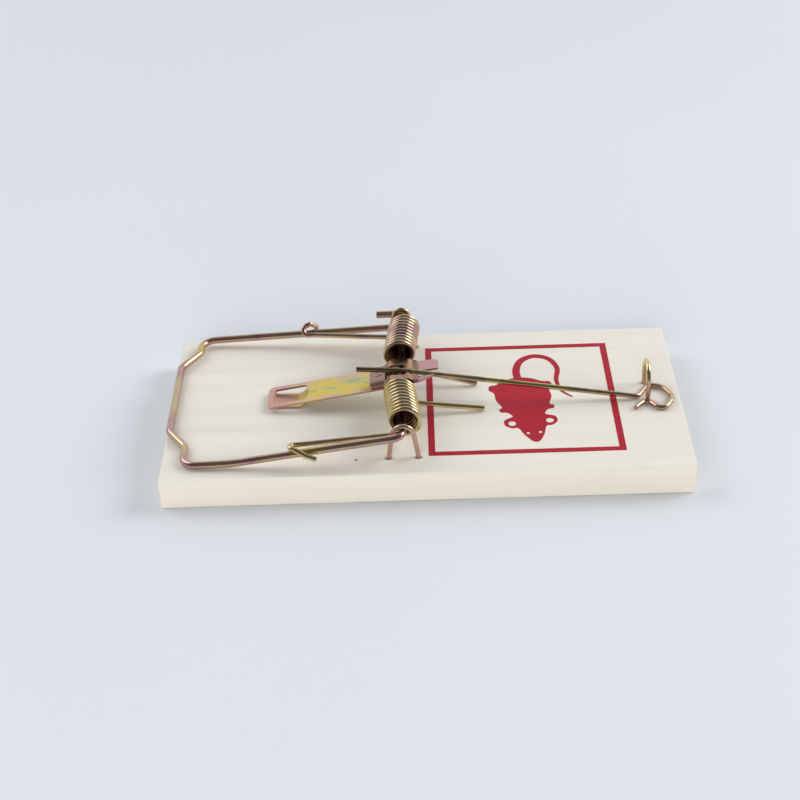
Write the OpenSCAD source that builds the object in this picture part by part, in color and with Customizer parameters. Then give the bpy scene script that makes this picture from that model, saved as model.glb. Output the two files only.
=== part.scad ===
// Snap mouse trap: a wooden board with a sprung wire kill bar, a sheet metal bait pedal and a
// holding bar. Millimetres. X runs along the board, Y across it, Z up from the board's underside.

/* [Board] */
// Length of the wooden board
board_l = 98; // [96:0.5:105]
// Width of the board
board_w = 47.5; // [46.5:0.5:52]
// Thickness of the board
board_t = 6.3; // [5:0.1:9]

/* [Kill bar] */
// Diameter of the kill bar's wire
bar_d = 1.45; // [1.3:0.05:1.5]
// Place of the axle along the board
axle_x = -4.2; // [-4.4:0.1:-4]
// Height of the axle above the board's top
axle_h = 5.7; // [5.65:0.05:5.75]

/* [Springs] */
// Diameter of the springs' wire
spring_d = 1.0; // [0.8:0.05:1]
// Mean radius of the coils
coil_r = 2.6; // [2.55:0.05:2.7]
// Full turns in each coil
coil_turns = 10; // [6:1:12]
// Width of the coil that each turn takes
coil_pitch = 1.04; // [1.02:0.01:1.06]

/* [Staples] */
// Diameter of the staples' wire
staple_d = 0.9; // [0.8:0.05:0.95]
// How deep the staples are driven into the board
staple_depth = 4.6; // [3:0.1:4.8]

/* [Holding bar] */
// Diameter of the holding bar's wire
hold_d = 1.0; // [0.8:0.05:1]

/* [Bait pedal] */
// Width of the pedal and of the saddle
pedal_w = 7; // [6.8:0.1:7]
// Thickness of their sheet metal
sheet_t = 0.4; // [0.3:0.05:0.4]

/* [Hidden] */
$fn = 48;

top_z = board_t;
axle_z = top_z + axle_h;
pedal_y = 0.5;

// The kill bar's route, from the stub at its far end round to its axle, which is a straight rod.
// Each point is [x, y, height above the board's top, radius of the bend there].
wrap_r = bar_d + 0.03;
front_x = 0.75 - board_l / 2;
KILL_ROUTE = [
    [axle_x - 5, 20.3, axle_h + wrap_r, 0],
    [axle_x + wrap_r, 20.3, axle_h + wrap_r, wrap_r * 0.95],
    [axle_x + wrap_r, 20.3, axle_h - wrap_r, wrap_r * 0.95],
    [-35, 21.5, 1.95, 30],
    [-44.8, 21.9, 1.2, 2.6],
    [-44.9, 17.4, 1.1, 2],
    [front_x, 12.4, 1, 2.5],
    [front_x, -9.4, 0.8, 2.5],
    [-44.8, -14.4, 0.76, 2],
    [-44.8, -20.35, 0.76, 2.6],
    [-36, -20.35, 1, 30],
    [axle_x, -20.35, axle_h, 2],
    [axle_x, -16.5, axle_h, 0],
];

// The holding bar's route, from the open end of its ring to its tip over the pedal.
HOLD_ROUTE = [
    [39.9, -5.65, 0.52, 0],
    [42.35, -2.95, 0.52, 1.1],
    [45, -6.9, 0.52, 1.3],
    [47.6, -2.65, 0.52, 2.9],
    [46.1, 1.4, 0.52, 3.3],
    [43, 1.9, 0.52, 1.1],
    [40.9, -1.9, 0.52, 1.3],
    [axle_x, -0.25, axle_h + bar_d / 2 + hold_d / 2 + 0.1, 12],
    [axle_x - 8.7, 1.2, axle_h + bar_d / 2 + hold_d / 2 - 0.25, 0],
];
axle_y = [-17.5, 21.5];

// Staples: how far each stands above the board, and where. The two over the axle have a crown that
// is narrower than their feet, so that their legs lean out.
near_staple_y = -18.7;
far_staple_y = 19;
pivot_staple_x = 42.7;
pivot_staple_y = 0.5;
near_crown_r = 2;
near_lean = 8.4;
far_crown_r = 1.5;
far_lean = 9.3;
pivot_crown_r = 3;
near_rise = axle_h + bar_d / 2 + staple_d + 0.06;
far_rise = near_rise + 2;
pivot_rise = 7;

// The coils' ends: [outer end, inner end], each [x, y, z] on the coil's centreline.
// The far coil rides up on the axle, and both sit a little skew on it.
coil_l = coil_turns * coil_pitch;
NEAR_COIL = [[axle_x + 0.55, -15.4, axle_z - 0.05], [axle_x - 0.5, -15.4 + coil_l, axle_z - 0.05]];
FAR_COIL = [[axle_x + 0.6, 16, axle_z + 1.1], [axle_x - 0.55, 16 - coil_l, axle_z + 1.1]];

// The hooks on the springs' legs, from the tail's end to the leg, round the kill bar's arm where it
// passes hook_x: [distance along the arm, inward, above the arm, radius of the bend there].
hook_x = -24.6;
NEAR_HOOK = [
    [4.6, -1.9, -0.7, 0],
    [2.6, -1.36, 0.2, 3],
    [1.6, -1, 1, 2],
    [-0.05, 0.05, 1.42, 0.7],
    [0.05, 1.3, 1.1, 0.8],
    [3, 1.7, 0.6, 6],
];
FAR_HOOK = [
    [3.1, -1.35, -0.7, 0],
    [2.95, -1.45, 0.7, 0.7],
    [2.1, -0.5, 1.95, 0.95],
    [0.6, 0.35, 1.7, 0.95],
    [0.85, 1.5, 0.5, 0.8],
    [2.9, 1.45, 0.4, 3],
];
NEAR_FOOT = [11.3, -4.3, top_z + 0.52];
FAR_FOOT = [10.3, 4.3, top_z + 0.52];

// The pedal's side view: [x, height above the board's top, radius of the bend there].
PEDAL_SIDE = [
    [-30.2, 0.85, 0],
    [-6.3, 4.94, 1],
    [-4.95, 4.68, 0.7],
    [-3.45, 4.68, 0.7],
    [-2.4, 5.95, 0.6],
    [2.8, 6.6, 0],
];
// The saddle's side view, over the axle and down on to the pedal again.
SADDLE_SIDE = [
    [-10.4, 4.67, 0],
    [-7.5, 5.28, 0.5],
    [-6.3, 6.72, 0.6],
    [-2.9, 6.82, 0.6],
    [-2.1, 6.41, 0.5],
    [-1.1, 6.54, 0],
];
// The bait window and the strap pressed down below it.
window_x = [-29, -22.4];
window_w = 4.8;
strap_slope = 1;
// The slot that the holding bar lies in, through the pedal's right end and the saddle's side.
slot_y = [-1.25, 0.65];
slot_x = [-3, 5];
slot_z = top_z + 5.1;
// The saddle's window over the axle.
saddle_window_x = [-7.4, -2.95];
saddle_window_y = [-1.5, 1.8];
saddle_window_z = top_z + 5.4;
// The corner cut from the fork's near prong, which tapers towards its end.
PRONG_CUT = [[-1, -0.1], [5, -0.1], [5, 3.1], [2.6, 1.9]];
corner_r = 1.2;
// The rivet's place, its shank and its heads.
rivet_x = -8.6;
rivet_y = 1.6;
rivet_r = 0.5;
head_r = 0.95;
head_h = 0.2;
// Taller than any piece, for cuts that go right through.
through = 30;

function unit(v) = v / norm(v);
function turn(a, b) = acos(max(-1, min(1, a * b)));
function angles(n, from, to) = [for (i = [0 : n]) from + (to - from) * i / n];

// Points round the corner at p, between a and b, as an arc of radius r.
function corner_arc(a, p, b, r) =
    let (u = unit(p - a), v = unit(b - p), t = turn(u, v), n = unit(v - u), w = unit(u + v))
    [for (s = angles(ceil(t / 15), -0.5, 0.5))
        p + n * r / cos(t / 2) + (w * sin(t * s) - n * cos(t * s)) * r];

// A polyline whose inner corners are arcs.
function rounded(points, radii) = let (last = len(points) - 1)
    concat([points[0]],
        [for (i = [1 : last - 1]) each corner_arc(points[i - 1], points[i], points[i + 1], radii[i])],
        [points[last]]);
function route_points(route) = [for (p = route) [p[0], p[1], p[2] + top_z]];
function route_line(route) = rounded(route_points(route), [for (p = route) p[3]]);
function side_line(side) = rounded([for (p = side) [p[0], p[1] + top_z]], [for (p = side) p[2]]);

// A swept tube with n sides along points. Each ring's x axis is carried on from the ring before,
// so that the tube doesn't twist.
module tube(points, d, n = 8) {
    last = len(points) - 1;
    dirs = [for (i = [0 : last]) unit(points[min(i + 1, last)] - points[max(i - 1, 0)])];
    first = unit(cross(dirs[0], [0.3, 0.2, 1]));
    xs = [for (i = 0, x = first; i <= last;
               i = i + 1, x = i > last ? x : unit(x - dirs[i] * (x * dirs[i]))) x];
    rings = [for (i = [0 : last], k = [0 : n - 1])
        points[i] + (xs[i] * cos(360 * k / n) + cross(dirs[i], xs[i]) * sin(360 * k / n)) * d / 2];
    sides = [for (i = [0 : last - 1], k = [0 : n - 1])
        [i * n + k, (i + 1) * n + k, (i + 1) * n + (k + 1) % n, i * n + (k + 1) % n]];
    polyhedron(rings, concat([[for (k = [0 : n - 1]) k]], sides,
        [[for (k = [n - 1 : -1 : 0]) last * n + k]]), convexity = 10);
}

// A staple on the board's top, in the YZ plane of its own frame: a round crown of mean radius r
// and two legs that lean out.
module staple(r, lean, rise) {
    centre = rise - staple_d / 2 - r;
    reach = r * cos(lean) + tan(lean) * (centre + r * sin(lean) + staple_depth);
    crown = [for (s = angles(12, lean, 180 - lean)) [0, r * cos(s), centre + r * sin(s)]];
    tube(concat([[0, reach, -staple_depth]], crown, [[0, -reach, -staple_depth]]), staple_d, 16);
}

// Points of a close coil from its outer to its inner end, entered and left along its underside.
function coil_points(ends) = [for (s = angles(coil_turns * 20, 0, 1))
    ends[0] + (ends[1] - ends[0]) * s
        + coil_r * [cos(360 * coil_turns * s - 90), 0, sin(360 * coil_turns * s - 90)]];

// Where the kill bar's arm is at hook_x, and its direction towards the axle.
function arm_at(a, b) = a + (b - a) * (hook_x - a[0]) / (b[0] - a[0]);

// One spring: hook, leg, coil and the foot that presses on the board.
module spring(coil, foot, arm_a, arm_b, hook) {
    along = unit(arm_b - arm_a);
    inward = unit(cross(along, [0, 0, sign(coil[0][1])]));
    up = cross(along, inward) * sign(inward[1]);
    centre = arm_at(arm_a, arm_b);
    turns = coil_points(coil);
    corners = [for (h = hook) centre + along * h[0] + inward * h[1] + up * h[2]];
    leg = rounded(concat(corners, [turns[0]]), concat([for (h = hook) h[3]], [0]));
    tube(concat([for (i = [0 : len(leg) - 2]) leg[i]], turns, [foot]), spring_d);
}

// Sheet metal of thickness t bent to a side view, with its bends as arcs.
function normal_at(line, i) =
    let (d = unit(line[min(i + 1, len(line) - 1)] - line[max(i - 1, 0)])) [-d[1], d[0]];
module sheet(line, width, t) {
    last = len(line) - 1;
    translate([0, pedal_y + width / 2, 0]) rotate([90, 0, 0]) linear_extrude(width)
        polygon(concat([for (i = [0 : last]) line[i] + normal_at(line, i) * t / 2],
            [for (i = [last : -1 : 0]) line[i] - normal_at(line, i) * t / 2]));
}
function pedal_height(x) = top_z + PEDAL_SIDE[0][1] + (x - PEDAL_SIDE[0][0])
    * (PEDAL_SIDE[1][1] - PEDAL_SIDE[0][1]) / (PEDAL_SIDE[1][0] - PEDAL_SIDE[0][0]);

// A box between two corners.
module block(low, high) {
    translate(low) cube(high - low);
}

// The slot round the holding bar.
module bar_slot() {
    block([slot_x[0], slot_y[0], slot_z], [slot_x[1], slot_y[1], through]);
}

// The round-cornered outline that the sheet metal is cut to, as a tall block.
module outline(x0, x1, r_left) {
    y0 = pedal_y - pedal_w / 2;
    y1 = pedal_y + pedal_w / 2;
    linear_extrude(through) {
        translate([x0 + r_left, y0]) square([x1 - x0 - r_left, pedal_w]);
        translate([x0, y0 + r_left]) square([r_left + 0.01, pedal_w - 2 * r_left]);
        for (y = [y0 + r_left, y1 - r_left]) translate([x0 + r_left, y]) circle(r_left);
    }
}

module base_board() {
    color("wheat") translate([-board_l / 2, -board_w / 2, 0]) cube([board_l, board_w, board_t]);
}

module near_staple() {
    color("tan") translate([axle_x, near_staple_y, top_z]) rotate([0, 0, 90])
        staple(near_crown_r, near_lean, near_rise);
}

module far_staple() {
    color("tan") translate([axle_x, far_staple_y, top_z]) rotate([0, 0, 90])
        staple(far_crown_r, far_lean, far_rise);
}

module pivot_staple() {
    color("tan") translate([pivot_staple_x, pivot_staple_y, top_z])
        staple(pivot_crown_r, 0, pivot_rise);
}

module kill_bar() {
    color("darkkhaki") {
        tube(route_line(KILL_ROUTE), bar_d - 0.01, 16);
        translate([axle_x, axle_y[0], axle_z]) rotate([-90, 0, 0])
            cylinder(h = axle_y[1] - axle_y[0], d = bar_d);
    }
}

module holding_bar() {
    color("darkkhaki") tube(route_line(HOLD_ROUTE), hold_d, 12);
}

module near_spring() {
    points = route_points(KILL_ROUTE);
    color("khaki") spring(NEAR_COIL, NEAR_FOOT, points[10], points[11], NEAR_HOOK);
}

module far_spring() {
    points = route_points(KILL_ROUTE);
    color("khaki") spring(FAR_COIL, FAR_FOOT, points[3], points[2], FAR_HOOK);
}

// The strip with its bait window, the strap pressed down from it and the slot for the bar.
module bait_pedal() {
    y0 = pedal_y - window_w / 2;
    y1 = pedal_y + window_w / 2;
    strap_z = top_z + 0.02 + sheet_t / 2;
    strap = [
        [window_x[0], pedal_height(window_x[0])],
        [window_x[0] + strap_slope, strap_z],
        [window_x[1] - strap_slope, strap_z],
        [window_x[1], pedal_height(window_x[1])],
    ];
    color("gold") {
        intersection() {
            difference() {
                sheet(side_line(PEDAL_SIDE), pedal_w, sheet_t);
                block([window_x[0], y0, 0], [window_x[1], y1, through]);
                bar_slot();
                translate([0, pedal_y - pedal_w / 2, 0]) linear_extrude(through) polygon(PRONG_CUT);
            }
            outline(PEDAL_SIDE[0][0], PEDAL_SIDE[5][0] + 1, corner_r);
        }
        sheet(strap, window_w - 0.3, sheet_t);
    }
}

// The hat over the axle, with its window and the slots that let the holding bar out.
module catch_saddle() {
    color("rosybrown") intersection() {
        difference() {
            sheet(side_line(SADDLE_SIDE), pedal_w, sheet_t);
            block([saddle_window_x[0], saddle_window_y[0], saddle_window_z],
                [saddle_window_x[1], saddle_window_y[1], through]);
            bar_slot();
        }
        outline(SADDLE_SIDE[0][0], 1, corner_r);
    }
}

// A small rivet that holds the saddle's flange on the pedal.
module saddle_rivet() {
    slope = pedal_height(1) - pedal_height(0);
    color("rosybrown") translate([rivet_x, rivet_y, pedal_height(rivet_x)])
        rotate([0, -atan(slope), 0]) {
            translate([0, 0, -sheet_t]) cylinder(h = sheet_t * 2.5, r = rivet_r);
            translate([0, 0, sheet_t * 1.5]) cylinder(h = head_h, r1 = head_r, r2 = head_r * 0.75);
            translate([0, 0, -sheet_t]) cylinder(h = head_h, r1 = head_r * 0.75, r2 = head_r);
        }
}

base_board();
near_staple();
far_staple();
pivot_staple();
kill_bar();
near_spring();
far_spring();
holding_bar();
bait_pedal();
catch_saddle();
saddle_rivet();
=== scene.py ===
# %% [markdown]
# # Snap mouse trap
# A wooden snap trap is a small board with three pieces of bent wire, two springs and two bits of
# pressed sheet metal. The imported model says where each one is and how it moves, so every piece
# below is built in that frame, in metres, and then rides on its body.

# %% Load the frame
import math

import bmesh
import bpy
import numpy as np
from mathutils import Euler, Matrix, Vector, noise


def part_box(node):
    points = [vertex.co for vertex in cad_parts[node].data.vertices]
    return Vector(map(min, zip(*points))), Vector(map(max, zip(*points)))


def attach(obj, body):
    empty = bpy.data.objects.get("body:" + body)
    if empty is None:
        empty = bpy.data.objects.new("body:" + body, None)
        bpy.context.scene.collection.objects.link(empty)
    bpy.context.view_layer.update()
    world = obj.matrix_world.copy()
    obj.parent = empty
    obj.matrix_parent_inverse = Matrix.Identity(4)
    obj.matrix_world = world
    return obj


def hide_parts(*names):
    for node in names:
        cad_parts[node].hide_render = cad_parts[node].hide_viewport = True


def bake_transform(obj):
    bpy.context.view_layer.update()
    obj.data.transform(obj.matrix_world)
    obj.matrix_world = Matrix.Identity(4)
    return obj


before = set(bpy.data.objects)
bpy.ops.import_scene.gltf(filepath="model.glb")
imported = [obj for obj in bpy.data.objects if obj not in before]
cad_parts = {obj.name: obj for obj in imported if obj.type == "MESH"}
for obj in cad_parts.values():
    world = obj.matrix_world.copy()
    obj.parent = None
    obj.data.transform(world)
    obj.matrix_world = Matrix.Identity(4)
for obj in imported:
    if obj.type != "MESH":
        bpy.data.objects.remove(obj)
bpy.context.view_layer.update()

MM = 0.001
board_low, board_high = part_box("base_board")
top = board_high.z
print("board", [round(v / MM, 2) for v in board_high - board_low], "mm")

# %% [markdown]
# ## Camera
# The trap is seen from in front and above, with a long lens, as one looks at something small on a
# table. A camera that is set from a direction and a distance is easier to adjust than one set from
# three rotations. The small roll is the tilt of a camera that is held by hand.

# %% Camera
camera_place = Vector((-0.63, -259.03, 182.66)) * MM
camera_aim = Vector((-0.0132, 0.8266, -0.5626))
camera_roll = math.radians(-2.27)
lens = 73.0

camera = bpy.data.objects.new("camera", bpy.data.cameras.new("camera"))
camera.data.lens = lens
camera.data.sensor_width = 36
camera.data.clip_start = 0.01
camera.rotation_mode = "QUATERNION"
turn_to_aim = camera_aim.to_track_quat("-Z", "Y")
camera.rotation_quaternion = turn_to_aim @ Euler((0, 0, camera_roll)).to_quaternion()
camera.location = camera_place
bpy.context.scene.collection.objects.link(camera)
bpy.context.scene.camera = camera

# %% [markdown]
# ## Shader maths as expressions
# A material is easier to read as a formula than as a page of nodes. Signal wraps one socket, and
# its operators add the Math nodes. Shader holds a material's tree, and its node method adds any
# other node from its type, its settings and its inputs.


# %% Signal and Shader
class Signal:
    """One output socket, on which + - * and / add Math nodes."""

    def __init__(self, shader, socket):
        self.shader = shader
        self.socket = socket

    def math(self, operation, *others):
        return self.shader.node("Math", {"operation": operation}, dict(enumerate([self, *others])))

    def __add__(self, other):
        return self.math("ADD", other)

    def __sub__(self, other):
        return self.math("SUBTRACT", other)

    def __mul__(self, other):
        return self.math("MULTIPLY", other)

    def __truediv__(self, other):
        return self.math("DIVIDE", other)

    def __rsub__(self, other):
        return (self * -1) + other

    __radd__ = __add__
    __rmul__ = __mul__

    def smooth(self, low, high):
        """0 below low and 1 above high, with a smooth step between."""
        settings = {"interpolation_type": "SMOOTHSTEP"}
        return self.shader.node("MapRange", settings, {0: self, 1: low, 2: high})


class Shader:
    """A tree of shader nodes: a new material's, or the world's."""

    def __init__(self, name, owner=None):
        self.owner = owner or bpy.data.materials.new(name)
        self.owner.use_nodes = True
        self.tree = self.owner.node_tree
        self.tree.nodes.clear()

    def node(self, kind, settings=None, inputs=None, output=None):
        """Adds a node and returns one of its outputs. Settings go first, because they can change
        which sockets the node shows."""
        made = self.tree.nodes.new("ShaderNode" + kind)
        for name, value in (settings or {}).items():
            if name == "stops":
                self.set_stops(made.color_ramp, value)
            else:
                setattr(made, name, value)
        shown = [socket for socket in made.inputs if socket.enabled]
        for key, value in (inputs or {}).items():
            socket = shown[key] if isinstance(key, int) else made.inputs[key]
            if isinstance(value, Signal):
                self.tree.links.new(value.socket, socket)
            else:
                socket.default_value = value
        if output:
            return Signal(self, made.outputs[output])
        outputs = [socket for socket in made.outputs if socket.enabled]
        return Signal(self, outputs[0]) if outputs else None

    def set_stops(self, ramp, stops):
        while len(ramp.elements) < len(stops):
            ramp.elements.new(0.5)
        for element, (place, colour) in zip(ramp.elements, stops):
            element.position = place
            element.color = (*colour, 1)

    def mix(self, share, a, b):
        """Colour a where share is 0 and b where it is 1."""
        colours = [value if isinstance(value, Signal) else (*value, 1) for value in (a, b)]
        return self.node("Mix", {"data_type": "RGBA"}, {0: share, 1: colours[0], 2: colours[1]})

    def stretched(self, place, scale, shift=(0, 0, 0)):
        """The coordinates place, times scale, plus shift."""
        settings = {"operation": "MULTIPLY_ADD"}
        return self.node("VectorMath", settings, {0: place, 1: scale, 2: shift})

    def axis(self, place, name):
        """The X, Y or Z of a place or a direction."""
        return self.node("SeparateXYZ", None, {"Vector": place}, name)

    def length(self, place, scale, shift):
        """How far the coordinates place, times scale, plus shift, are from zero."""
        moved = self.stretched(place, scale, shift)
        return self.node("VectorMath", {"operation": "LENGTH"}, {0: moved}, "Value")

    def noise(self, place, scale=1.0, detail=3.0, rough=0.5, warp=0.0):
        inputs = {"Vector": place, "Scale": scale, "Detail": detail, "Roughness": rough}
        return self.node("TexNoise", None, {**inputs, "Distortion": warp})

    def surface(self, colour, roughness, bump=None, bump_mm=0.01, **fixed):
        """Ends the tree with a Principled shader. Bump is in units of bump_mm."""
        inputs = {"Base Color": colour, "Roughness": roughness}
        inputs.update({name.replace("_", " "): value for name, value in fixed.items()})
        if bump is not None:
            height = {"Height": bump, "Strength": 1.0, "Distance": bump_mm * MM}
            inputs["Normal"] = self.node("Bump", None, height)
        shader = self.node("BsdfPrincipled", None, inputs)
        self.node("OutputMaterial", None, {"Surface": shader})
        return self.owner


def srgb(red, green, blue):
    """A colour given as it looks on a screen, 0 to 255, as the linear colour that nodes take."""
    values = [channel / 255 for channel in (red, green, blue)]
    return tuple(v / 12.92 if v <= 0.04045 else ((v + 0.055) / 1.055) ** 2.4 for v in values)


# %% [markdown]
# ## Floor and light
# A pale table under three wide soft lights has weak shadows. The key is on the right, the fill is
# at the back on the left, and a third in front lifts the board's front face. Bare metal shows its
# surroundings, so the room matters as much as the lights: it is bright behind and dim in front and
# overhead, and that dim part draws the dark core along every wire. The front light would fill that
# core again, so metal doesn't mirror it.

# %% Floor
floor_size = 4.0


def add_object(name, bm, sharp_degrees=40):
    """A new object from a bmesh, smooth except at edges sharper than the given angle."""
    mesh = bpy.data.meshes.new(name)
    bm.to_mesh(mesh)
    bm.free()
    mesh.shade_smooth()
    mesh.set_sharp_from_angle(angle=math.radians(sharp_degrees))
    made = bpy.data.objects.new(name, mesh)
    bpy.context.scene.collection.objects.link(made)
    return made


bm = bmesh.new()
bmesh.ops.create_grid(bm, x_segments=8, y_segments=8, size=floor_size / 2)
floor = add_object("floor", bm)
shader = Shader("pale_table")
place = shader.node("TexCoord", output="Object")
mottle = shader.noise(place, scale=9.0, detail=2.0)
colour = shader.mix(mottle, srgb(222, 226, 232), srgb(227, 230, 236))
floor.data.materials.append(shader.surface(colour, 0.6, Specular_IOR_Level=0.2))

# %% Room
room = Shader("room", bpy.context.scene.world or bpy.data.worlds.new("room"))
bpy.context.scene.world = room.owner
direction = room.node("TexCoord", output="Generated")


def towards(x, y, z, wide, narrow):
    """A soft spot of the room round a direction: 1 in its middle and 0 outside."""
    aim = Vector((x, y, z)).normalized()
    near = room.node("VectorMath", {"operation": "DOT_PRODUCT"}, {0: direction, 1: aim}, "Value")
    return near.smooth(wide, narrow)


dim_front = towards(0, -0.55, 0.85, 0.0, 0.7)
bright_back = towards(0.3, 0.9, 0.35, 0.3, 0.95)
brightness = 0.72 - dim_front * 0.58 + bright_back * 0.35
room_colour = room.node("Background", None, {"Color": (0.93, 0.96, 1.0, 1), "Strength": brightness})
room.node("OutputWorld", None, {"Surface": room_colour})


# %% Lights
def soft_light(name, place, aim, size, power, mirrored=True):
    light = bpy.data.lights.new(name, "AREA")
    light.shape = "RECTANGLE"
    light.size, light.size_y = size
    light.energy = power
    lamp = bpy.data.objects.new(name, light)
    lamp.location = place
    lamp.visible_glossy = mirrored
    lamp.rotation_mode = "QUATERNION"
    lamp.rotation_quaternion = (Vector(aim) - Vector(place)).to_track_quat("-Z", "Y")
    bpy.context.scene.collection.objects.link(lamp)


soft_light("key_light", (0.62, 0.16, 0.46), (0, 0, 0), (0.42, 0.42), 3.0)
soft_light("fill_light", (-0.5, 0.25, 0.5), (0, 0, 0), (0.5, 0.5), 1.7)
soft_light("front_light", (-0.12, -0.82, 0.26), (0, 0, 0), (0.6, 0.4), 4.8, mirrored=False)
bpy.context.scene.view_settings.view_transform = "Standard"

# %% [markdown]
# ## Drawing with wire
# Most of the trap is wire that is bent on a jig: straight runs joined by arcs. So a piece of wire
# is a route, a short list of corners with the radius of the bend at each, and one function sweeps
# a round section along it. Bevelled curves could do this too, but a mesh of our own lets each
# point carry how far along and how far round the wire it lies, which the plating and the fine
# drawing lines of the steel then follow.

# %% Routes
bend_step = math.radians(6)


def corner_arc(before, corner, after, radius):
    """Points round a corner, as an arc."""
    come, go = (corner - before).normalized(), (after - corner).normalized()
    turn = come.angle(go)
    if radius <= 0 or turn < math.radians(0.05):
        return [corner]
    inward, along = (go - come).normalized(), (come + go).normalized()
    centre = corner + inward * radius / math.cos(turn / 2)
    count = max(2, math.ceil(turn / bend_step))
    angles = [turn * (i / count - 0.5) for i in range(count + 1)]
    return [centre + (along * math.sin(a) - inward * math.cos(a)) * radius for a in angles]


def rounded(corners, radii):
    """An open line through corners, with an arc of its own radius at each inner one."""
    line = [corners[0]]
    for i in range(1, len(corners) - 1):
        line += corner_arc(corners[i - 1], corners[i], corners[i + 1], radii[i])
    return line + [corners[-1]]


def on_board(x, y, height):
    """A place from millimetres, with its height above the board's top."""
    return Vector((x * MM, y * MM, top + height * MM))


def route(rows):
    """A line from rows of x, y, height above the board and bend radius, in millimetres."""
    return rounded([on_board(*row[:3]) for row in rows], [row[3] * MM for row in rows])


# %% Sweeping a wire
wire_sides = 24
end_chamfer = 0.12


def wire(name, line, diameter):
    """A wire of round section along a line, with sheared ends. Its UV map holds metres along it
    and metres round it."""
    radius = diameter / 2
    chamfer = end_chamfer * diameter
    first, last = (line[1] - line[0]).normalized(), (line[-1] - line[-2]).normalized()
    line = [line[0], line[0] + first * chamfer] + line[1:-1] + [line[-1] - last * chamfer, line[-1]]
    sizes = [radius - chamfer] + [radius] * (len(line) - 2) + [radius - chamfer]
    bm = bmesh.new()
    uv = bm.loops.layers.uv.new("wire")
    side = first.cross(Vector((0.3, 0.2, 1))).normalized()
    rings, distances = [], [0.0]
    for i, point in enumerate(line):
        ahead, behind = line[min(i + 1, len(line) - 1)], line[max(i - 1, 0)]
        along = (ahead - behind).normalized()
        side = (side - along * side.dot(along)).normalized()
        other = along.cross(side)
        turns = [2 * math.pi * k / wire_sides for k in range(wire_sides)]
        offsets = [(side * math.cos(t) + other * math.sin(t)) * sizes[i] for t in turns]
        rings.append([bm.verts.new(point + offset) for offset in offsets])
        if i:
            distances.append(distances[-1] + (point - line[i - 1]).length)
    around = 2 * math.pi * radius / wire_sides
    for i in range(len(rings) - 1):
        for k in range(wire_sides):
            after = (k + 1) % wire_sides
            here, there = rings[i], rings[i + 1]
            face = bm.faces.new((here[k], there[k], there[after], here[after]))
            places = [(i, k), (i + 1, k), (i + 1, k + 1), (i, k + 1)]
            for loop, (ring, step) in zip(face.loops, places):
                loop[uv].uv = (distances[ring], step * around)
    for ring in (rings[0], rings[-1][::-1]):
        cap = bm.faces.new(ring)
        for loop in cap.loops:
            loop[uv].uv = (0, 0)
    bmesh.ops.recalc_face_normals(bm, faces=bm.faces)
    print(f"{name}: {distances[-1] / MM:.1f} mm of {diameter / MM:.2f} mm wire")
    return add_object(name, bm)


def fit(piece, body, node, material):
    """Puts a finished piece in place of its CAD node, on its body."""
    piece.data.materials.append(material)
    if body:
        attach(piece, body)
    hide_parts(node)


# %% [markdown]
# ## Yellow passivated zinc
# The steel is zinc plated and then dipped in a chromate bath. The film that this leaves is thinner
# than a wavelength of light, so its colour drifts from straw to gold, rose, green and blue with
# its thickness. A slow noise stands for the thickness and a ramp turns it into colour. On top of
# that, what faces down is painted rosier and what faces up takes the crown colour: painted
# reflection, colour set by which way the surface faces.

# %% Plating
straw = srgb(224, 208, 158)
gold = srgb(204, 182, 116)
rose = srgb(206, 164, 154)
mauve = srgb(180, 142, 142)
green = srgb(172, 178, 124)
teal = srgb(140, 164, 160)
tan = srgb(200, 176, 142)
umber = srgb(134, 108, 90)
olive = srgb(150, 142, 104)


wire_drawing = (400, 9000, 1)
sheet_rolling = (500, 500, 500)
shallow_lines = 0.0015


def plated(name, films, patch_mm=9.0, roughness=0.2, low_rose_reflection=0.3, crown=olive, up_reflection_share=0.22,
           lines_along=wire_drawing, shade=None):
    """Plated steel. Films are the colours that it drifts through, about patch_mm apart. Crown is a
    painted reflection on what faces up, and rose is one on what faces down. The fine lines follow a
    wire's own map, or a sheet's place.
    Shade takes the tree, the place and the film, and gives the film with more done to it."""
    shader = Shader(name)
    place = shader.node("TexCoord", output="Object")
    in_wire = lines_along is wire_drawing
    along = shader.node("UVMap", {"uv_map": "wire"}) if in_wire else place
    drift = shader.noise(place, scale=1 / (patch_mm * MM), detail=1.5, rough=0.5, warp=0.4)
    steps = [(0.3 + 0.4 * i / (len(films) - 1), film) for i, film in enumerate(films)]
    film = shader.node("ValToRGB", {"stops": steps}, {"Fac": drift})
    normal = shader.node("NewGeometry", output="Normal")
    up = shader.axis(normal, "Z")
    # Painted reflection: faces turned down are mixed towards rose, and faces turned up towards
    # crown.
    film = shader.mix((1 - up.smooth(-0.6, 0.4)) * low_rose_reflection, film, rose)
    film = shader.mix(up.smooth(0.35, 0.95) * up_reflection_share, film, crown)
    if shade:
        film = shade(shader, place, film)
    lines = shader.noise(shader.stretched(along, lines_along), rough=0.6)
    dull = shader.noise(place, scale=1 / (1.7 * MM), detail=2.0)
    film = shader.mix(dull.smooth(0.5, 0.85) * 0.15, film, umber)
    rough = lines * 0.1 + dull * 0.1 + (roughness - 0.1)
    return shader.surface(film, rough, bump=lines, bump_mm=shallow_lines, Metallic=1.0)


def coil_shade(height):
    """Darkens a coil inside its turns, where little light gets in. Height is its middle's."""

    def shade(shader, place, film):
        far = shader.length(place, (1, 0, 1), (-axle_x * MM, 0, -top - height * MM))
        in_coil = 1 - far.smooth(3.2 * MM, 3.8 * MM)
        depth = 1 - far.smooth(2.3 * MM, 2.5 * MM)
        return shader.mix(depth * in_coil * 0.85, film, srgb(46, 38, 30))

    return shade


def browner_tip(shader, place, film):
    """The holding bar is browner towards its tip, and pinker round its ring."""
    x = shader.axis(place, "X")
    film = shader.mix((1 - x.smooth(-5 * MM, -1 * MM)) * 0.8, film, srgb(124, 98, 84))
    return shader.mix(x.smooth(30 * MM, 42 * MM) * 0.55, film, rose)


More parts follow.
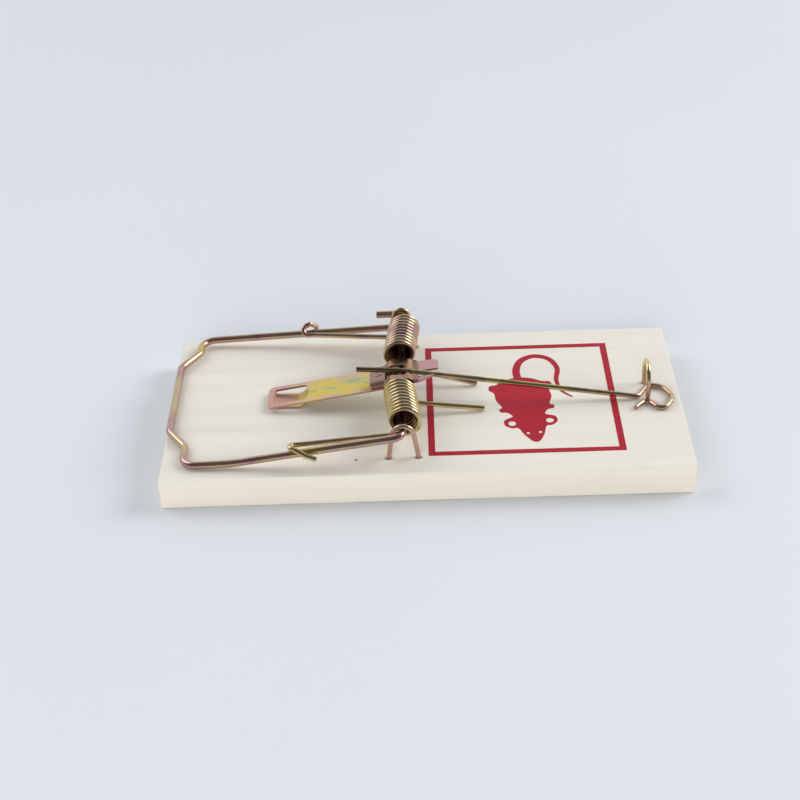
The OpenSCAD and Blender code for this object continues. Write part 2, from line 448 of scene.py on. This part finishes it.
def crest_highlight(shader, place, film):
    """Paints a golden highlight along the saddle's two bends."""
    x = shader.axis(place, "X")
    # Painted highlight: a soft golden band across each bend of the saddle.
    for centre in (-6.3, -2.7):
        near = 1 - (x - centre * MM).math("ABSOLUTE").smooth(0, 0.9 * MM)
        film = shader.mix(near * 0.45, film, srgb(212, 158, 100))
    return film


axle_x = -4.2
axle_h = 5.7
near_coil_h = axle_h - 0.05
far_coil_h = axle_h + 1.1
bar_steel = plated("bar_steel", [tan, rose, mauve, tan, rose, gold], 14.0, low_rose_reflection=0.45)
near_steel = plated("near_spring_steel", [green, straw, gold, straw, tan], low_rose_reflection=0.15,
                    crown=srgb(158, 132, 118), up_reflection_share=0.6, shade=coil_shade(near_coil_h))
far_steel = plated("far_spring_steel", [tan, rose, straw, mauve, tan],
                   crown=srgb(160, 128, 120), up_reflection_share=0.6, shade=coil_shade(far_coil_h))
thin_steel = plated("holding_bar_steel", [green, gold, olive, tan, green], shade=browner_tip)
staple_steel = plated("staple_steel", [tan, rose, tan, straw], low_rose_reflection=0.2)

# %% [markdown]
# ## Kill bar
# The bar that does the killing is one length of wire. From the stub it wraps once round its own
# axle, runs out along the far side, jogs twice across the front, comes back along the near side
# and turns into the axle itself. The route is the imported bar's, and the axle is its last run.

# %% Kill bar
bar_d = 1.45
wrap_r = bar_d + 0.03
front_x = board_low.x / MM + 0.75
near_arm = [(-44.8, -20.35, 0.76, 2.6), (-36, -20.35, 1, 30), (axle_x, -20.35, axle_h, 2)]
far_arm = [(axle_x + wrap_r, 20.3, axle_h - wrap_r, wrap_r * 0.95), (-35, 21.5, 1.95, 30)]
kill_route = [
    (axle_x - 5, 20.3, axle_h + wrap_r, 0),
    (axle_x + wrap_r, 20.3, axle_h + wrap_r, wrap_r * 0.95),
    *far_arm,
    (-44.8, 21.9, 1.2, 2.6),
    (-44.9, 17.4, 1.1, 2),
    (front_x, 12.4, 1, 2.5),
    (front_x, -9.4, 0.8, 2.5),
    (-44.8, -14.4, 0.76, 2),
    *near_arm,
    (axle_x, 21.5, axle_h, 0),
]
kill_bar = wire("kill_bar_wire", route(kill_route), bar_d * MM)
fit(kill_bar, "kill_bar", "kill_bar", bar_steel)

# %% [markdown]
# ## Springs
# Each spring is ten close turns round the axle. Its outer end runs out and hooks round the kill
# bar's arm, and its inner end presses on the board. When the bar is pulled open the coil winds up,
# which a rigid mesh can't do. Here each spring is one mesh at rest, on no body.

# %% Springs
spring_d = 1.0
coil_r = 2.6
coil_turns = 10
coil_l = coil_turns * 1.04
steps_per_turn = 32
hook_x = -24.6
near_hook = [
    (4.6, -1.9, -0.7, 0),
    (2.6, -1.36, 0.2, 3),
    (1.6, -1, 1, 2),
    (-0.05, 0.05, 1.42, 0.7),
    (0.05, 1.3, 1.1, 0.8),
    (3, 1.7, 0.6, 6),
]
far_hook = [
    (3.1, -1.35, -0.7, 0),
    (2.95, -1.45, 0.7, 0.7),
    (2.1, -0.5, 1.95, 0.95),
    (0.6, 0.35, 1.7, 0.95),
    (0.85, 1.5, 0.5, 0.8),
    (2.9, 1.45, 0.4, 3),
]


def coil_line(outer, inner):
    """A close coil from its outer to its inner end, entered and left along its underside."""
    count = coil_turns * steps_per_turn
    line = []
    for i in range(count + 1):
        share = i / count
        angle = 2 * math.pi * coil_turns * share - math.pi / 2
        turn = Vector((math.cos(angle), 0, math.sin(angle))) * coil_r * MM
        line.append(outer.lerp(inner, share) + turn)
    return line


def spring(name, node, coil, foot, arm, hook, material):
    """A spring from the tail of its hook to its foot. The hook's rows are distance along the kill
    bar's arm, inward, above the arm and bend radius."""
    outer, inner = coil
    arm_start, arm_end = on_board(*arm[0][:3]), on_board(*arm[1][:3])
    along = (arm_end - arm_start).normalized()
    inward = along.cross(Vector((0, 0, math.copysign(1, outer.y)))).normalized()
    up = along.cross(inward) * math.copysign(1, inward.y)
    centre = arm_start.lerp(arm_end, (hook_x * MM - arm_start.x) / (arm_end.x - arm_start.x))
    turns = coil_line(outer, inner)
    corners = [centre + (along * s + inward * i + up * h) * MM for s, i, h, _ in hook]
    leg = rounded([*corners, turns[0]], [radius * MM for *_, radius in hook] + [0])
    piece = wire(name, leg[:-1] + turns + [foot], spring_d * MM)
    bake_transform(piece)
    fit(piece, None, node, material)


near_coil = (on_board(axle_x + 0.55, -15.4, near_coil_h),
             on_board(axle_x - 0.5, -15.4 + coil_l, near_coil_h))
far_coil = (on_board(axle_x + 0.6, 16, far_coil_h),
            on_board(axle_x - 0.55, 16 - coil_l, far_coil_h))
near_foot = on_board(11.3, -4.3, 0.52)
far_foot = on_board(10.3, 4.3, 0.52)
near_run = (near_arm[1], near_arm[2])
far_run = (far_arm[1], far_arm[0])
spring("near_spring_wire", "near_spring", near_coil, near_foot, near_run, near_hook, near_steel)
spring("far_spring_wire", "far_spring", far_coil, far_foot, far_run, far_hook, far_steel)

# %% [markdown]
# ## Staples and holding bar
# A staple is a wire with a round crown and two legs that are driven into the board. The legs of
# the two over the axle lean out, and their ends are hidden in the wood. The holding bar is the
# thin wire that keeps a set trap open. One end is a loose open ring round a leg of its staple, and
# the rest lies over the axle and reaches above the pedal.

# %% Staples
staple_d = 0.9
staple_depth = 4.6


def staple(name, node, centre, across, r, lean, rise):
    """A staple across a direction: a round crown of radius r and two legs that lean out."""
    lean = math.radians(lean)
    crown_height = rise - staple_d / 2 - r
    angles = [lean + (math.pi - 2 * lean) * i / 24 for i in range(25)]
    arch = [(-r * math.cos(a), crown_height + r * math.sin(a)) for a in angles]
    reach = arch[-1][0] + math.tan(lean) * (arch[-1][1] + staple_depth)
    shape = [(-reach, -staple_depth), *arch, (reach, -staple_depth)]
    base = on_board(*centre, 0)
    line = [base + across * x * MM + Vector((0, 0, h * MM)) for x, h in shape]
    fit(wire(name, line, staple_d * MM), "base", node, staple_steel)


along_board = Vector((1, 0, 0))
across_board = Vector((0, 1, 0))
near_staple_y, far_staple_y = -18.7, 19
pivot_x, pivot_y, pivot_r = 42.7, 0.5, 3
rise = axle_h + bar_d / 2 + staple_d + 0.06
staple("near_staple_wire", "near_staple", (axle_x, near_staple_y), along_board, 2, 8.4, rise)
staple("far_staple_wire", "far_staple", (axle_x, far_staple_y), along_board, 1.5, 9.3, rise + 2)
staple("pivot_staple_wire", "pivot_staple", (pivot_x, pivot_y), across_board, pivot_r, 0, 7)

# %% Holding bar
hold_d = 1.0
over_axle = axle_h + bar_d / 2 + hold_d / 2
hold_route = [
    (39.9, -5.65, 0.52, 0),
    (42.35, -2.95, 0.52, 1.1),
    (45, -6.9, 0.52, 1.3),
    (47.6, -2.65, 0.52, 2.9),
    (46.1, 1.4, 0.52, 3.3),
    (43, 1.9, 0.52, 1.1),
    (40.9, -1.9, 0.52, 1.3),
    (axle_x, -0.25, over_axle + 0.1, 12),
    (axle_x - 8.7, 1.2, over_axle - 0.25, 0),
]
holding_bar = wire("holding_bar_wire", route(hold_route), hold_d * MM)
fit(holding_bar, "holding_bar", "holding_bar", thin_steel)

# %% [markdown]
# ## Pressed sheet
# The pedal and the saddle are blanked out of thin strip and then bent, and they can be made in
# the same order here. A filled 2D curve gives the flat blank with its holes and a small rounded
# edge, cuts across it leave enough points to bend, and one function wraps it along a side view.


# %% Blanks and bends
class SideView:
    """The bent centre line of a piece of sheet, in X and Z, by distance along it."""

    def __init__(self, rows):
        corners = [on_board(x, 0, height) for x, height, _ in rows]
        self.points = rounded(corners, [radius * MM for _, _, radius in rows])
        steps = [(b - a).length for a, b in zip(self.points, self.points[1:])]
        self.distances = np.concatenate([[0], np.cumsum(steps)])

    def at(self, distance):
        """The point and the normal at a distance along the line."""
        last = len(self.points) - 2
        i = int(np.clip(np.searchsorted(self.distances, distance) - 1, 0, last))
        a, b = self.points[i], self.points[i + 1]
        share = (distance - self.distances[i]) / (b - a).length
        before, after = self.points[max(i - 1, 0)], self.points[min(i + 2, last + 1)]
        start, end = (b - before).normalized(), (after - a).normalized()
        run = start.lerp(end, min(max(share, 0), 1)).normalized()
        return a.lerp(b, share), Vector((-run.z, 0, run.x))

    def distance_at(self, x):
        """How far along the line lies the X given in millimetres."""
        places = [point.x for point in self.points]
        return float(np.interp(x * MM, places, self.distances))


def closed_outline(rows):
    """A closed flat line from rows of x, y and corner radius, in metres."""
    corners = [Vector((x, y, 0)) for x, y, _ in rows]
    line = []
    for i, (_, _, radius) in enumerate(rows):
        after = corners[(i + 1) % len(rows)]
        line += corner_arc(corners[i - 1], corners[i], after, radius)
    return line


def blank(outlines, thickness, edge, cut_step):
    """A flat plate in a new bmesh, from closed outlines of which the inner ones are holes."""
    curve = bpy.data.curves.new("blank", "CURVE")
    curve.dimensions = "2D"
    curve.fill_mode = "BOTH"
    curve.extrude = thickness / 2 - edge
    curve.bevel_depth = edge
    curve.bevel_resolution = 2
    curve.offset = -edge
    for outline in outlines:
        spline = curve.splines.new("POLY")
        spline.points.add(len(outline) - 1)
        for point, place in zip(spline.points, outline):
            point.co = (*place, 1)
        spline.use_cyclic_u = True
    flat = bpy.data.objects.new("blank", curve)
    bpy.context.scene.collection.objects.link(flat)
    evaluated = flat.evaluated_get(bpy.context.evaluated_depsgraph_get())
    mesh = bpy.data.meshes.new_from_object(evaluated)
    bm = bmesh.new()
    bm.from_mesh(mesh)
    bpy.data.objects.remove(flat)
    bpy.data.curves.remove(curve)
    bpy.data.meshes.remove(mesh)
    bmesh.ops.remove_doubles(bm, verts=bm.verts, dist=1e-7)
    places = [vertex.co.x for vertex in bm.verts]
    for cut in np.arange(min(places) + cut_step, max(places), cut_step):
        everything = bm.verts[:] + bm.edges[:] + bm.faces[:]
        bmesh.ops.bisect_plane(bm, geom=everything, plane_co=(cut, 0, 0), plane_no=(1, 0, 0))
    return bm


def bend(bm, side):
    """Wraps a flat plate along a side view: its X becomes distance along the line."""
    for vertex in bm.verts:
        point, normal = side.at(vertex.co.x)
        across = Vector((0, vertex.co.y, 0))
        vertex.co = point + normal * vertex.co.z + across


sheet_t = 0.4 * MM
sheet_edge = 0.07 * MM
pedal_low, pedal_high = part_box("bait_pedal")
near_edge, far_edge = pedal_low.y, pedal_high.y
slot_near, slot_far = -1.25 * MM, 0.65 * MM

# %% [markdown]
# ## Bait pedal
# The strip has a window at its free end. The metal of the window isn't thrown away: it is pressed
# down into a bowed strap that bait is smeared on, and that keeps the pedal's end off the board. At
# the other end a dip goes under the axle, and beyond it the strip forks round the holding bar.

# %% Pedal strip
pedal_side = SideView([
    (-30.2, 0.85, 0),
    (-6.3, 4.94, 1),
    (-4.95, 4.68, 0.7),
    (-3.45, 4.68, 0.7),
    (-2.4, 5.95, 0.6),
    (2.8, 6.6, 0),
])
window_left, window_right = -29, -22.4
window_near, window_far = -1.9 * MM, 2.9 * MM
corner = 1.2 * MM
flat = pedal_side.distance_at
pedal_outline = closed_outline([
    (0, near_edge, corner),
    (flat(-1), near_edge, 0.3 * MM),
    (flat(2.33), slot_near, 0.15 * MM),
    (flat(-3), slot_near, 0.3 * MM),
    (flat(-3), slot_far, 0.3 * MM),
    (flat(2.8), slot_far, 0.3 * MM),
    (flat(2.8), far_edge, corner),
    (0, far_edge, corner),
])
window_outline = closed_outline([
    (flat(window_left), window_near, 0.7 * MM),
    (flat(window_right) - 0.5 * MM, window_near, 0.5 * MM),
    (flat(window_right), window_near + 1.2 * MM, 0.7 * MM),
    (flat(window_right), window_far - 1.2 * MM, 0.7 * MM),
    (flat(window_right) - 0.5 * MM, window_far, 0.5 * MM),
    (flat(window_left), window_far, 0.7 * MM),
])
pedal = blank([pedal_outline, window_outline], sheet_t, sheet_edge, 0.3 * MM)
bend(pedal, pedal_side)

# %% Bait strap
strap_height = sheet_t / 2 / MM + 0.02
rim_left, _ = pedal_side.at(flat(window_left))
rim_right, _ = pedal_side.at(flat(window_right))
strap_side = SideView([
    (window_left - 0.35, (rim_left.z - top) / MM - 0.3, 0),
    (window_left + 0.7, strap_height, 1.2),
    (window_right - 1.6, strap_height, 2.4),
    (window_right + 0.3, (rim_right.z - top) / MM - 0.3, 0),
])
strap_length = strap_side.distances[-1]
strap_outline = closed_outline([
    (0, window_near + 0.15 * MM, 0.2 * MM),
    (strap_length, window_near + 0.15 * MM, 0.2 * MM),
    (strap_length, window_far - 0.15 * MM, 0.2 * MM),
    (0, window_far - 0.15 * MM, 0.2 * MM),
])
strap = blank([strap_outline], sheet_t, sheet_edge, 0.2 * MM)
bend(strap, strap_side)
strap_mesh = bpy.data.meshes.new("strap")
strap.to_mesh(strap_mesh)
strap.free()
pedal.from_mesh(strap_mesh)
bmesh.ops.recalc_face_normals(pedal, faces=pedal.faces)
pedal_piece = add_object("bait_pedal_sheet", pedal, 30)
print("bait pedal:", round(pedal_side.distances[-1] / MM, 1), "mm along the sheet")

# %% Pedal finish
shader = Shader("pedal_plating")
place = shader.node("TexCoord", output="Object")
x, y = shader.axis(place, "X"), shader.axis(place, "Y")
wander = shader.noise(place, scale=260.0, detail=3.0, rough=0.6, warp=1.0)
middle_y = (near_edge + far_edge) / 2
from_middle = ((y - middle_y) / ((far_edge - near_edge) / 2)).math("ABSOLUTE")
thickness = from_middle * 0.62 + (wander - 0.5) * 1.25
films = [(0.0, green), (0.14, srgb(206, 190, 96)), (0.36, srgb(214, 184, 98)), (0.55, tan),
         (0.72, rose), (1.0, mauve)]
film = shader.node("ValToRGB", {"stops": films}, {"Fac": thickness})
left_end = (x * -1).smooth(22.5 * MM, 27.5 * MM)
right_end = x.smooth(-4.0 * MM, -1.5 * MM)
film = shader.mix(left_end * 0.8, film, srgb(196, 148, 148))
film = shader.mix(right_end * 0.85, film, srgb(188, 144, 156))
patch_x, patch_y = -13.6 * MM, 1.6 * MM
patch_far = shader.length(place, (150, 420, 0), (-150 * patch_x, -420 * patch_y, 0))
patch = 1 - (patch_far + (wander - 0.5) * 0.8).smooth(0.1, 0.75)
film = shader.mix(patch, film, green)
film = shader.mix((1 - (patch_far + (wander - 0.5) * 0.5).smooth(0.05, 0.38)) * 0.8, film, teal)
rolled = shader.noise(shader.stretched(place, (300, 6000, 6000)), detail=4.0, rough=0.6)
blotch = shader.noise(place, scale=900.0, detail=3.0)
film = shader.mix(blotch.smooth(0.55, 0.8) * 0.15, film, umber)
rough = rolled * 0.12 + blotch * 0.16 + 0.22
pedal_finish = shader.surface(film, rough, bump=rolled, bump_mm=0.005, Metallic=1.0)
fit(pedal_piece, "pedal", "bait_pedal", pedal_finish)

# %% [markdown]
# ## Saddle and rivet
# A hat of the same strip sits on the pedal and closes over the axle, so that the two make the
# pedal's hinge. Its top has a window, and a slot in its right side lets the holding bar out. A
# small clinched button holds the hat's brim to the pedal.

# %% Saddle
saddle_side = SideView([
    (-10.4, 4.67, 0),
    (-7.5, 5.28, 0.5),
    (-6.3, 6.72, 0.6),
    (-2.9, 6.82, 0.6),
    (-2.1, 6.41, 0.5),
    (-1.1, 6.54, 0),
])
flat = saddle_side.distance_at
saddle_end = saddle_side.distances[-1]
saddle_corner = 0.9 * MM
saddle_outline = closed_outline([
    (0, near_edge, corner),
    (saddle_end, near_edge, saddle_corner),
    (saddle_end, slot_near, 0.2 * MM),
    (flat(-2.8), slot_near, 0.25 * MM),
    (flat(-2.8), slot_far, 0.25 * MM),
    (saddle_end, slot_far, 0.2 * MM),
    (saddle_end, far_edge, saddle_corner),
    (0, far_edge, corner),
])
saddle_window = closed_outline([
    (flat(-7.35), -1.5 * MM, 0.4 * MM),
    (flat(-3.5), -1.5 * MM, 0.4 * MM),
    (flat(-3.5), 1.8 * MM, 0.4 * MM),
    (flat(-7.35), 1.8 * MM, 0.4 * MM),
])
saddle = blank([saddle_outline, saddle_window], sheet_t, sheet_edge, 0.15 * MM)
bend(saddle, saddle_side)
bmesh.ops.recalc_face_normals(saddle, faces=saddle.faces)
saddle_piece = add_object("catch_saddle_sheet", saddle, 30)
print("saddle:", round(saddle_end / MM, 1), "mm along the sheet")
saddle_films = [umber, srgb(146, 108, 100), srgb(164, 120, 118), srgb(142, 106, 90)]
saddle_finish = plated("saddle_plating", saddle_films, 5.0, 0.27, 0.1, lines_along=sheet_rolling,
                       shade=crest_highlight)
fit(saddle_piece, "pedal", "catch_saddle", saddle_finish)


# %% Rivet
def lathe(name, profile, steps=48):
    """A round solid about Z from its profile of radius and height."""
    bm = bmesh.new()
    points = [bm.verts.new((radius, 0, height)) for radius, height in profile]
    edges = [bm.edges.new(pair) for pair in zip(points, points[1:])]
    spin = {"cent": (0, 0, 0), "axis": (0, 0, 1), "angle": 2 * math.pi, "steps": steps}
    bmesh.ops.spin(bm, geom=points + edges, **spin)
    bmesh.ops.remove_doubles(bm, verts=bm.verts, dist=1e-7)
    bmesh.ops.recalc_face_normals(bm, faces=bm.faces)
    return add_object(name, bm, 50)


rivet_x, rivet_y = -8.6 * MM, 1.6 * MM
rivet_profile = [
    (0, -0.4), (0.68, -0.4), (0.9, -0.3), (0.86, -0.2), (0.5, -0.2), (0.5, 0.6), (0.9, 0.6),
    (0.95, 0.66), (0.88, 0.75), (0.7, 0.79), (0.5, 0.76), (0.3, 0.66), (0, 0.62),
]
rivet = lathe("saddle_rivet_button", [(r * MM, h * MM) for r, h in rivet_profile])
seat, normal = pedal_side.at(pedal_side.distance_at(rivet_x / MM))
rivet.rotation_mode = "QUATERNION"
rivet.rotation_quaternion = normal.to_track_quat("Z", "Y")
rivet.location = (seat.x, rivet_y, seat.z)
fit(rivet, "pedal", "saddle_rivet", saddle_finish)

# %% [markdown]
# ## Board
# The board is pale softwood, planed on both faces and sawn at its ends. It could be a cube with a
# bevel, but two things need more points: the edges, which are only eased by sandpaper, and the
# wood round the staples' legs, where the fibres are pushed down and a little up again.


# %% Board mesh
def lines_between(low, high, step, places, reach, fine):
    """Grid lines from low to high, with finer ones round some places and at both ends."""
    lines = set(np.round(np.linspace(low, high, int((high - low) / step) + 1), 6))
    for place in [*places, low, high]:
        around = np.arange(place - reach, place + reach, fine)
        lines |= set(np.round(around[(around > low) & (around < high)], 6))
    return sorted(lines)


axle_legs = 2.75
axle_staples = (near_staple_y, far_staple_y)
leg_places = [(axle_x + x, y) for x in (-axle_legs, axle_legs) for y in axle_staples]
leg_places += [(pivot_x, pivot_y + y) for y in (-pivot_r, pivot_r)]
leg_places = [(x * MM, y * MM) for x, y in leg_places]
ease = 0.35 * MM


def box_grid(xs, ys, zs):
    """A closed box whose faces are cut along the given lines."""
    bm = bmesh.new()
    found = {}

    def corner_at(*place):
        if place not in found:
            found[place] = bm.verts.new(place)
        return found[place]

    def panel(us, vs, put):
        for u0, u1 in zip(us, us[1:]):
            for v0, v1 in zip(vs, vs[1:]):
                corners = [put(u, v) for u, v in ((u0, v0), (u1, v0), (u1, v1), (u0, v1))]
                bm.faces.new([corner_at(*place) for place in corners])

    for z in (zs[0], zs[-1]):
        panel(xs, ys, lambda u, v: (u, v, z))
    for y in (ys[0], ys[-1]):
        panel(xs, zs, lambda u, v: (u, y, v))
    for x in (xs[0], xs[-1]):
        panel(ys, zs, lambda u, v: (x, u, v))
    bmesh.ops.recalc_face_normals(bm, faces=bm.faces)
    return bm


def eased(place, low, high, radius):
    """A point of a box's face moved on to the same box with rounded edges."""
    inner = Vector([min(max(p, a + radius), b - radius) for p, a, b in zip(place, low, high)])
    out = place - inner
    return inner + out.normalized() * radius if out.length > radius else place


def board_height(x, y):
    """How far the planed face stands above or below its plane."""
    fibres = noise.noise(Vector((x * 60, y * 900, 0))) * 0.012
    for leg_x, leg_y in leg_places:
        reach = math.hypot(x - leg_x, (y - leg_y) * 1.25) / MM
        lifted = 0.09 * math.exp(-(((reach - 0.95) / 0.3) ** 2))
        pressed = 0.3 * math.exp(-((reach / 0.55) ** 2))
        fibres += lifted - pressed
    return fibres * MM


leg_xs, leg_ys = {x for x, _ in leg_places}, {y for _, y in leg_places}
xs = lines_between(board_low.x, board_high.x, 1.2 * MM, leg_xs, 1.5 * MM, 0.16 * MM)
ys = lines_between(board_low.y, board_high.y, 0.8 * MM, leg_ys, 1.5 * MM, 0.16 * MM)
zs = lines_between(board_low.z, board_high.z, 0.8 * MM, [], 0.5 * MM, 0.12 * MM)
bm = box_grid([float(x) for x in xs], [float(y) for y in ys], [float(z) for z in zs])
for vertex in bm.verts:
    ragged = ease * (1 + 0.5 * noise.noise(vertex.co * 180))
    on_top = vertex.co.z > top - 1e-6
    place = vertex.co.copy()
    vertex.co = eased(place, board_low, board_high, ragged)
    if on_top:
        inside = min(place.x - board_low.x, board_high.x - place.x,
                     place.y - board_low.y, board_high.y - place.y)
        vertex.co.z += board_height(place.x, place.y) * min(1, inside / (0.6 * MM))
board = add_object("board", bm, 60)
print("board mesh:", len(board.data.vertices), "points")

# %% [markdown]
# ## Wood
# Softwood grain is long along the board and very fine across it. Noise that is squeezed across
# the grain gives streaks on the faces, and on the sawn ends the same noise shows as dots, which is
# what end grain looks like. It is pale wood, so all of it stays faint. The tree is a function,
# because the printed ink lets the wood show through where it is worn.

# %% Wood
wood_light = srgb(237, 232, 222)
wood_mid = srgb(230, 224, 211)
wood_dark = srgb(214, 202, 181)
speck_place = (-12.97 * MM, -19.04 * MM)


def wood_colour(shader, place):
    """The wood's colour and the height of its fibres."""
    bands = shader.noise(shader.stretched(place, (9, 150, 320)), detail=4.0, rough=0.62, warp=0.7)
    streaks = shader.noise(shader.stretched(place, (45, 1900, 1900)), detail=3.0, rough=0.7)
    pores = shader.noise(shader.stretched(place, (160, 5200, 5200)), detail=2.0, rough=0.6)
    tone = shader.noise(shader.stretched(place, (12, 30, 30)), detail=2.0)
    colour = shader.mix(bands.smooth(0.3, 0.7), wood_light, wood_mid)
    colour = shader.mix(streaks.smooth(0.56, 0.8) * 0.4, colour, wood_dark)
    colour = shader.mix(tone.smooth(0.4, 0.75) * 0.3, colour, srgb(240, 234, 220))
    colour = shader.mix(pores.smooth(0.66, 0.8) * 0.25, colour, wood_dark)
    return colour, streaks * 0.6 + pores * 0.4


def spot(shader, place, centre, radius):
    """1 inside a small round spot on the board's top."""
    far = shader.length(place, (1, 1, 0), (-centre[0], -centre[1], 0))
    return 1 - far.smooth(radius * 0.5, radius)


shader = Shader("board_wood")
place = shader.node("TexCoord", output="Object")
colour, fibres = wood_colour(shader, place)
facing = shader.node("NewGeometry", output="Normal")
end_face = shader.axis(facing, "X").math("ABSOLUTE").smooth(0.6, 0.9)
colour = shader.mix(end_face * 0.35, colour, srgb(206, 192, 168))
# Painted shade: the board's sides are painted a little darker and warmer than its top.
painted_side_shade = 1 - shader.axis(facing, "Z").math("ABSOLUTE").smooth(0.3, 0.8)
colour = shader.mix(painted_side_shade * 0.4, colour, srgb(232, 222, 200))
speck = spot(shader, place, speck_place, 0.42 * MM)
colour = shader.mix(speck * 0.75, colour, srgb(96, 84, 76))
for leg in leg_places:
    colour = shader.mix(spot(shader, place, leg, 0.85 * MM) * 0.5, colour, srgb(168, 140, 108))
rough = fibres * 0.2 + 0.5
board_wood = shader.surface(colour, rough, bump=fibres, bump_mm=0.05, Specular_IOR_Level=0.3)
fit(board, "base", "base_board", board_wood)

# %% [markdown]
# ## Print
# A frame and a mouse are screen printed on the board in red. The ink is a real layer, a few
# hundredths of a millimetre thick, so it is a thin plate with a slightly ragged edge. The mouse is
# a plain one seen from above, drawn as half an outline, mirrored, with a tail.

# %% Ink
ink_red = srgb(172, 26, 46)
shader = Shader("red_ink")
place = shader.node("TexCoord", output="Object")
wood, fibres = wood_colour(shader, place)
ink = shader.mix(fibres.smooth(0.45, 0.75) * 0.35, ink_red, srgb(148, 22, 38))
patches = shader.noise(place, scale=420.0, detail=4.0, rough=0.6)
ink = shader.mix(patches.smooth(0.4, 0.8) * 0.25, ink, srgb(172, 36, 54))
specks = shader.noise(shader.stretched(place, (900, 2600, 900)), detail=3.0, rough=0.7)
worn = specks.smooth(0.72, 0.78) * 0.8
colour = shader.mix(worn, ink, wood)
red_ink = shader.surface(colour, patches * 0.2 + 0.45, fibres, 0.03, Specular_IOR_Level=0.2)

# %% Printing plates
ink_top = top + 0.03 * MM
ink_base = top - 0.06 * MM
edge_step = 0.35 * MM
raggedness = 0.035 * MM
# Without a seed, the vector noise starts from the clock and the edge differs from run to run.
noise.seed_set(11)


def ragged(line, seed):
    """A closed line in short steps, each point moved a little off it."""
    points = []
    for a, b in zip(line, line[1:] + line[:1]):
        count = max(1, round((b - a).length / edge_step))
        points += [a.lerp(b, i / count) for i in range(count)]
    shift = Vector((seed * 7.3, seed * 3.1, 0))
    return [p + noise.noise_vector(p * 900 + shift) * raggedness for p in points]


def plate(name, outlines):
    """A thin layer of ink from closed outlines, of which the inner ones are holes."""
    bm = bmesh.new()
    for seed, outline in enumerate(outlines):
        ring = [bm.verts.new((p.x, p.y, ink_base)) for p in ragged(outline, seed)]
        for pair in zip(ring, ring[1:] + ring[:1]):
            bm.edges.new(pair)
    filled = bmesh.ops.triangle_fill(bm, use_beauty=True, edges=bm.edges[:])
    faces = [item for item in filled["geom"] if isinstance(item, bmesh.types.BMFace)]
    raised = bmesh.ops.extrude_face_region(bm, geom=faces)
    for item in raised["geom"]:
        if isinstance(item, bmesh.types.BMVert):
            item.co.z = ink_top
    bmesh.ops.recalc_face_normals(bm, faces=bm.faces)
    piece = add_object(name, bm, 30)
    piece.data.materials.append(red_ink)
    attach(piece, "base")


def rectangle(x0, y0, x1, y1):
    return [Vector((x * MM, y * MM, 0)) for x, y in ((x0, y0), (x1, y0), (x1, y1), (x0, y1))]


frame_line = 1.25
frame_box = (0.4, -18.5, 36.8, 18.3)
x0, y0, x1, y1 = frame_box
inner_box = (x0 + frame_line, y0 + frame_line, x1 - frame_line, y1 - frame_line)
plate("printed_frame", [rectangle(*frame_box), rectangle(*inner_box)])


# %% Printed mouse
def flowing(points, steps=6):
    """A smooth open line through points (Catmull-Rom)."""
    ends = [points[0] * 2 - points[1], *points, points[-1] * 2 - points[-2]]
    line = []
    for p0, p1, p2, p3 in zip(ends, ends[1:], ends[2:], ends[3:]):
        for i in range(steps):
            t = i / steps
            curve = p1 * 2 + (p2 - p0) * t + (p0 * 2 - p1 * 5 + p2 * 4 - p3) * t**2
            line.append((curve + (p1 * 3 - p0 - p2 * 3 + p3) * t**3) * 0.5)
    return line + [points[-1]]


mouse_nose = Vector((20.6, -15.1, 0))
mouse_heading = math.radians(96)
half_mouse = [
    (0, 0), (0.5, 0.8), (2.6, 1.9), (4.9, 2.7), (5.0, 3.8), (6.1, 5.0), (7.7, 4.9), (8.4, 3.7),
    (8.9, 3.1), (10.2, 3.9), (10.5, 5.1), (11.5, 5.3), (12.1, 4.6), (14.6, 5.4), (17, 5.4),
    (18.2, 6.2), (19.6, 5.9), (19.9, 4.6), (21.3, 2.4), (21.8, 0.75),
]
tail_points = [
    (21.6, 0), (24.5, -0.2), (27.6, -1.6), (29.0, -4.4), (27.6, -7.2), (24.0, -8.3), (20.0, -7.4),
    (16.2, -7.6), (13.6, -9.3),
]
tail_width = 0.75


def mouse_place(u, v):
    """A place on the print, from distance behind the nose and distance to the left."""
    turned = Vector((u, v, 0))
    turned.rotate(Matrix.Rotation(mouse_heading, 3, "Z"))
    return (mouse_nose + turned) * MM


left_half = flowing([Vector((u, v, 0)) for u, v in half_mouse])
right_half = [Vector((p.x, -p.y, 0)) for p in left_half[::-1]]
tail = flowing([Vector((u, v, 0)) for u, v in tail_points])
tail_sides = []
for i, point in enumerate(tail):
    run = (tail[min(i + 1, len(tail) - 1)] - tail[max(i - 1, 0)]).normalized()
    width = tail_width * (1 - 0.75 * (i / (len(tail) - 1)) ** 2)
    out = run.cross(Vector((0, 0, -1))) * width
    tail_sides.append((point + out, point - out))
out_side = [a for a, b in tail_sides[2:]]
back_side = [b for a, b in tail_sides[2:]][::-1]
outline = [mouse_place(p.x, p.y) for p in left_half + out_side + back_side + right_half[:-1]]


def hole(u, v, r):
    """A round hole in the print."""
    angles = [2 * math.pi * i / 20 for i in range(20)]
    return [mouse_place(u + r * math.cos(a), v + r * math.sin(a)) for a in angles]


ears = [hole(6.5, 3.6 * side, 0.75) for side in (-1, 1)]
eyes = [hole(3.0, 1.15 * side, 0.32) for side in (-1, 1)]
plate("printed_mouse", [outline, *ears, *eyes])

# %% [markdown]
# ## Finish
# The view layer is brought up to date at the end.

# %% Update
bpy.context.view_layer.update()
